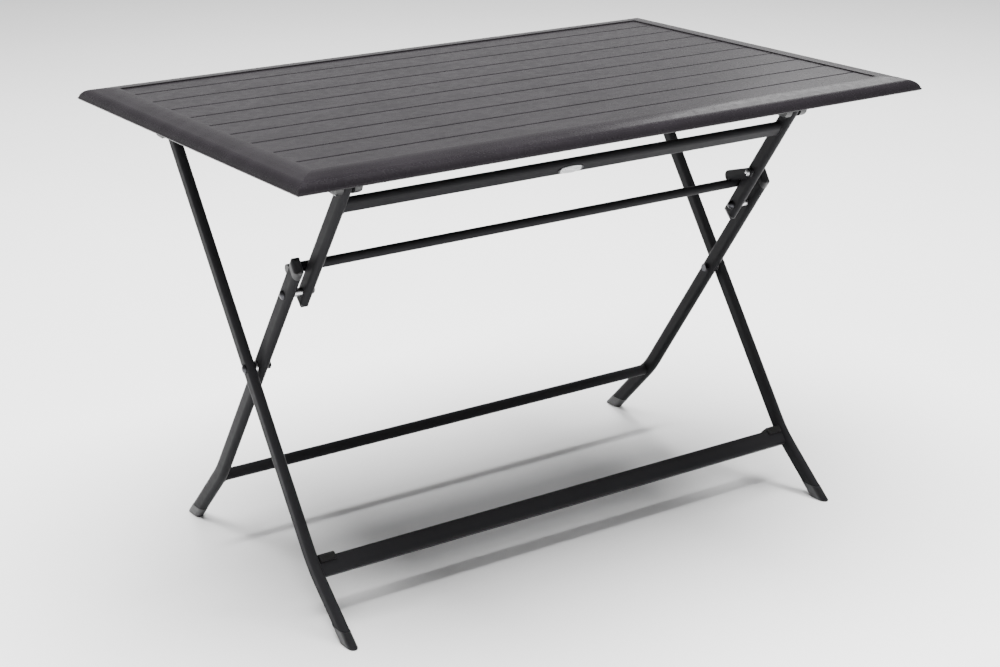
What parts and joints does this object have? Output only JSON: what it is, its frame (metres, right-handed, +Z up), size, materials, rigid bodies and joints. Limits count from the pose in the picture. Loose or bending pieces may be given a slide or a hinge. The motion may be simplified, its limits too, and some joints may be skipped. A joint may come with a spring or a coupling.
{
  "type": "folding picnic table",
  "caption": "Folding picnic table with a slatted rectangular top in a rounded metal frame, on crossed flat-oval tube legs with crossbars, an elbow joint and a locking hook.",
  "frame": {"origin": "centre of the bounding box's bottom face, on the floor under the middle of the top", "axes": "+X along the table's long side, +Y from the front edge, where the short legs hinge, to the rear edge, +Z up"},
  "size_m": [1.1, 0.72, 0.72],
  "materials": {
    "frame_paint": "satin powder coat",
    "slat_paint": "satin powder coat, fine texture",
    "leg_paint": "satin powder coat",
    "black_plastic": "moulded, matt",
    "pad_rubber": "matt",
    "dark_steel": "blackened, oiled",
    "bright_steel": "zinc plated",
    "badge_metal": "satin"
  },
  "bodies": {
    "short_leg_frame": {"badge": "badge_metal", "latch_bush": "bright_steel", "latch_screw": "bright_steel", "short_leg_left": "leg_paint", "short_leg_plugs": "black_plastic", "short_leg_right": "leg_paint", "short_tail_cap_left": "black_plastic", "short_tail_cap_right": "black_plastic", "upper_crossbar": "leg_paint"},
    "tabletop": {"batten_left": "frame_paint", "batten_middle": "frame_paint", "batten_right": "frame_paint", "corner_keys": "black_plastic", "hinge_bolts": "dark_steel", "hinge_bracket_front_left": "black_plastic", "hinge_bracket_front_right": "black_plastic", "hinge_bracket_rear_left": "black_plastic", "hinge_bracket_rear_right": "black_plastic", "hinge_nuts": "dark_steel", "hinge_screws": "dark_steel", "rail_front": "frame_paint", "rail_left": "frame_paint", "rail_rear": "frame_paint", "rail_right": "frame_paint", "slat_01": "slat_paint", "slat_02": "slat_paint", "slat_03": "slat_paint", "slat_04": "slat_paint", "slat_05": "slat_paint", "slat_06": "slat_paint", "slat_07": "slat_paint", "slat_08": "slat_paint", "slat_09": "slat_paint", "slat_10": "slat_paint"},
    "inner_leg_frame": {"elbow_bolts": "dark_steel", "elbow_nuts": "dark_steel", "elbow_spacers": "bright_steel", "inner_crossbar": "leg_paint", "inner_foot_cap_left": "black_plastic", "inner_foot_cap_right": "black_plastic", "inner_head_cap_left": "black_plastic", "inner_head_cap_right": "black_plastic", "inner_leg_left": "leg_paint", "inner_leg_right": "leg_paint", "scissor_nuts": "dark_steel", "stop_bar": "leg_paint", "stop_bar_plugs": "black_plastic"},
    "latch": {"latch_hook": "leg_paint"},
    "outer_leg_frame": {"outer_crossbar": "leg_paint", "outer_foot_cap_left": "black_plastic", "outer_foot_cap_right": "black_plastic", "outer_leg_left": "leg_paint", "outer_leg_plugs": "black_plastic", "outer_leg_right": "leg_paint", "rest_pad_left": "pad_rubber", "rest_pad_right": "pad_rubber", "scissor_bolts": "dark_steel", "scissor_washers": "bright_steel"}
  },
  "joints": [
    {"name": "elbow", "type": "hinge", "parent": "short_leg_frame", "child": "inner_leg_frame", "pos_m": [0, -0.09426, 0.48048], "axis": [-1, 0, 0], "range_deg": [0, 167]},
    {"name": "rear_hinge", "type": "hinge", "parent": "tabletop", "child": "outer_leg_frame", "pos_m": [0, 0.22698, 0.665], "axis": [-1, 0, 0], "range_deg": [0, 49.26]},
    {"name": "front_hinge", "type": "hinge", "parent": "tabletop", "child": "short_leg_frame", "pos_m": [0, -0.22298, 0.665], "axis": [1, 0, 0], "range_deg": [0, 52]},
    {"name": "latch_pivot", "type": "hinge", "parent": "short_leg_frame", "child": "latch", "pos_m": [0.3928, -0.13974, 0.54568], "axis": [1, 0, 0], "range_deg": [0, 124.5]}
  ],
  "couplings": [
    {"joint": "elbow", "follows": "rear_hinge", "ratio": 3.3899},
    {"joint": "front_hinge", "follows": "rear_hinge", "ratio": 1.0541},
    {"joint": "latch_pivot", "follows": "rear_hinge", "ratio": 2.5253}
  ]
}
